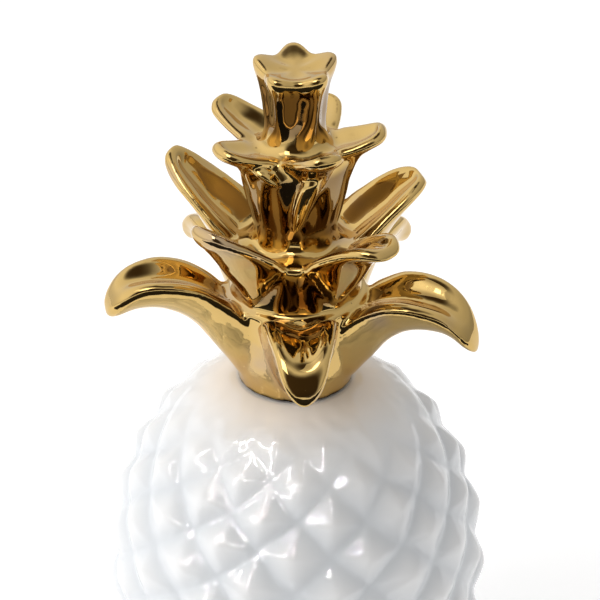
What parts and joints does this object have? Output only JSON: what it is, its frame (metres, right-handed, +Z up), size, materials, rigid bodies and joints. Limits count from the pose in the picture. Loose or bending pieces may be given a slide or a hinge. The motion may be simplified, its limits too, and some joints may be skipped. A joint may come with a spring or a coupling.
{
  "type": "ceramic pineapple ornament",
  "caption": "Freestanding glazed ceramic pineapple: a round fruit covered with pyramid studs under a gold crown of dished leaves with a fluted bud.",
  "frame": {"origin": "on the body's vertical axis, in the flat underside of its foot", "axes": "+Z up along the body and the crown; -Y towards the front, the side that the picture shows; +X to the right seen from the front"},
  "size_m": [0.1278, 0.128, 0.2515],
  "materials": {
    "white_glaze": "clear glossy glaze over a white slip-cast body",
    "gold_lustre": "mirror-bright fired gold lustre over glaze"
  },
  "bodies": {
    "root": {"body": "white_glaze", "crown": "gold_lustre"}
  },
  "joints": []
}
